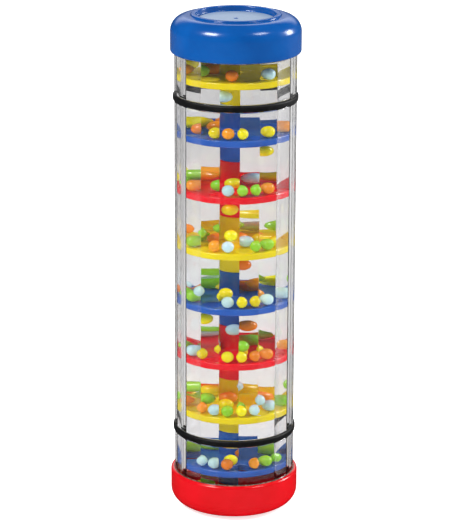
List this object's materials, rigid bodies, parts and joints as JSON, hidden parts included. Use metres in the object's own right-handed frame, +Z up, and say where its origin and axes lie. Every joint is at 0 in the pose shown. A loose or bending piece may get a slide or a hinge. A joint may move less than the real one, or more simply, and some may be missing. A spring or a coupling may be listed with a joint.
{
  "type": "rainstick",
  "caption": "Clear faceted tube with moulded caps and a column of pierced baffles; loose beads trickle down through it with a rain sound when it is turned over.",
  "frame": {"origin": "middle of the lower cap's rim, on the plane that the stick stands on", "axes": "+Z up the stick from the red cap to the blue cap, -Y the front of the stick, +X to the right"},
  "size_m": [0.0508, 0.0508, 0.2],
  "materials": {
    "clear_tube": "clear polished styrene",
    "blue_cap": "glossy moulded",
    "red_cap": "glossy moulded",
    "black_rubber": "satin rubber",
    "blue_baffle": "glossy moulded",
    "red_baffle": "glossy moulded",
    "yellow_baffle": "glossy moulded",
    "orange_bead": "polished",
    "yellow_bead": "polished",
    "green_bead": "polished",
    "pale_blue_bead": "polished"
  },
  "bodies": {
    "stick": {"baffle_1": "blue_baffle", "baffle_2": "yellow_baffle", "baffle_3": "red_baffle", "baffle_4": "blue_baffle", "baffle_5": "yellow_baffle", "baffle_6": "red_baffle", "baffle_7": "blue_baffle", "baffle_8": "yellow_baffle", "cap_bottom": "red_cap", "cap_top": "blue_cap", "grip_ring_lower": "black_rubber", "grip_ring_upper": "black_rubber", "tube_shell": "clear_tube"},
    "chamber_1_beads": {"chamber_1_beads_green": "green_bead", "chamber_1_beads_orange": "orange_bead", "chamber_1_beads_pale_blue": "pale_blue_bead", "chamber_1_beads_yellow": "yellow_bead"},
    "chamber_2_beads": {"chamber_2_beads_green": "green_bead", "chamber_2_beads_orange": "orange_bead", "chamber_2_beads_pale_blue": "pale_blue_bead", "chamber_2_beads_yellow": "yellow_bead"},
    "chamber_3_beads": {"chamber_3_beads_green": "green_bead", "chamber_3_beads_orange": "orange_bead", "chamber_3_beads_pale_blue": "pale_blue_bead", "chamber_3_beads_yellow": "yellow_bead"},
    "chamber_4_beads": {"chamber_4_beads_green": "green_bead", "chamber_4_beads_orange": "orange_bead", "chamber_4_beads_pale_blue": "pale_blue_bead", "chamber_4_beads_yellow": "yellow_bead"},
    "chamber_5_beads": {"chamber_5_beads_green": "green_bead", "chamber_5_beads_orange": "orange_bead", "chamber_5_beads_pale_blue": "pale_blue_bead", "chamber_5_beads_yellow": "yellow_bead"},
    "chamber_6_beads": {"chamber_6_beads_green": "green_bead", "chamber_6_beads_orange": "orange_bead", "chamber_6_beads_pale_blue": "pale_blue_bead", "chamber_6_beads_yellow": "yellow_bead"},
    "chamber_7_beads": {"chamber_7_beads_green": "green_bead", "chamber_7_beads_orange": "orange_bead", "chamber_7_beads_pale_blue": "pale_blue_bead", "chamber_7_beads_yellow": "yellow_bead"},
    "chamber_8_beads": {"chamber_8_beads_orange": "orange_bead", "chamber_8_beads_yellow": "yellow_bead"},
    "chamber_9_beads": {"chamber_9_beads_green": "green_bead", "chamber_9_beads_orange": "orange_bead", "chamber_9_beads_pale_blue": "pale_blue_bead", "chamber_9_beads_yellow": "yellow_bead"},
    "falling_beads": {"falling_beads_orange": "orange_bead", "falling_beads_pale_blue": "pale_blue_bead", "falling_beads_yellow": "yellow_bead"}
  },
  "joints": [
    {"name": "chamber_1_bead_rise", "type": "slide", "parent": "stick", "child": "chamber_1_beads", "axis": [0, 0, 1], "range_m": [0, 0.0087]},
    {"name": "chamber_2_bead_rise", "type": "slide", "parent": "stick", "child": "chamber_2_beads", "axis": [0, 0, 1], "range_m": [0, 0.015]},
    {"name": "chamber_3_bead_rise", "type": "slide", "parent": "stick", "child": "chamber_3_beads", "axis": [0, 0, 1], "range_m": [0, 0.01116]},
    {"name": "chamber_4_bead_rise", "type": "slide", "parent": "stick", "child": "chamber_4_beads", "axis": [0, 0, 1], "range_m": [0, 0.01155]},
    {"name": "chamber_5_bead_rise", "type": "slide", "parent": "stick", "child": "chamber_5_beads", "axis": [0, 0, 1], "range_m": [0, 0.01061]},
    {"name": "chamber_6_bead_rise", "type": "slide", "parent": "stick", "child": "chamber_6_beads", "axis": [0, 0, 1], "range_m": [0, 0.01107]},
    {"name": "chamber_7_bead_rise", "type": "slide", "parent": "stick", "child": "chamber_7_beads", "axis": [0, 0, 1], "range_m": [0, 0.01296]},
    {"name": "chamber_8_bead_rise", "type": "slide", "parent": "stick", "child": "chamber_8_beads", "axis": [0, 0, 1], "range_m": [0, 0.015]},
    {"name": "chamber_9_bead_rise", "type": "slide", "parent": "stick", "child": "chamber_9_beads", "axis": [0, 0, 1], "range_m": [0, 0.0105]},
    {"name": "falling_beads_drop", "type": "slide", "parent": "stick", "child": "falling_beads", "axis": [0, 0, -1], "range_m": [0, 0.00705]}
  ]
}
